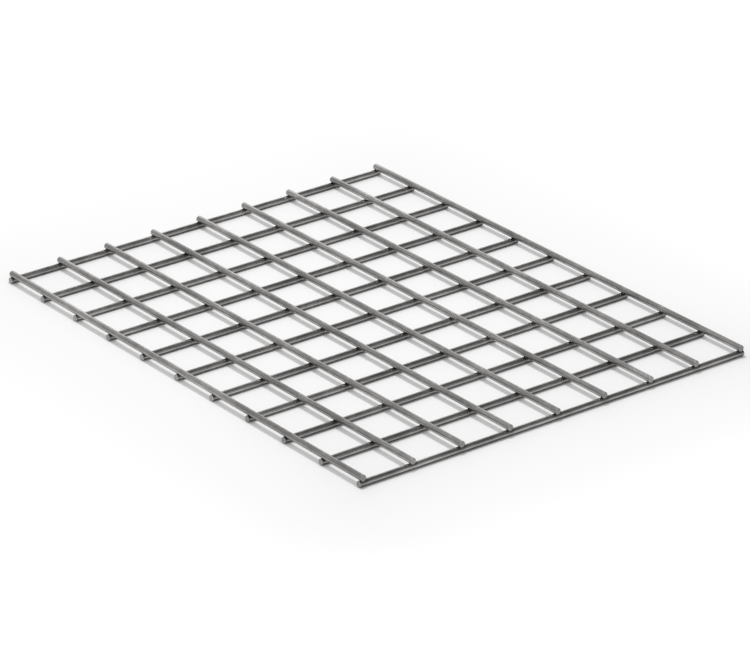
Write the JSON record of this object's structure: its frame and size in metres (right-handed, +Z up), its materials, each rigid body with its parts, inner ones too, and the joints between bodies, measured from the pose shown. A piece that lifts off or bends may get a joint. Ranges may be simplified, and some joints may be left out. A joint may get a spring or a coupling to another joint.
{
  "type": "welded wire mesh sheet",
  "caption": "Flat rectangular sheet of welded square-cell wire mesh, with one layer of straight steel wires laid across another and fused to it at every crossing.",
  "frame": {"origin": "middle of the sheet, on the plane that its lower wires lie on", "axes": "+X along the lower wires, +Y along the upper wires, which are the longer ones, and +Z up from the lower wires to the upper"},
  "size_m": [0.413, 0.5138, 0.0109],
  "materials": {
    "steel_wire": "bare drawn steel, satin grey, fine lengthwise draw marks"
  },
  "bodies": {
    "root": {"welded_mesh": "steel_wire"}
  },
  "joints": []
}
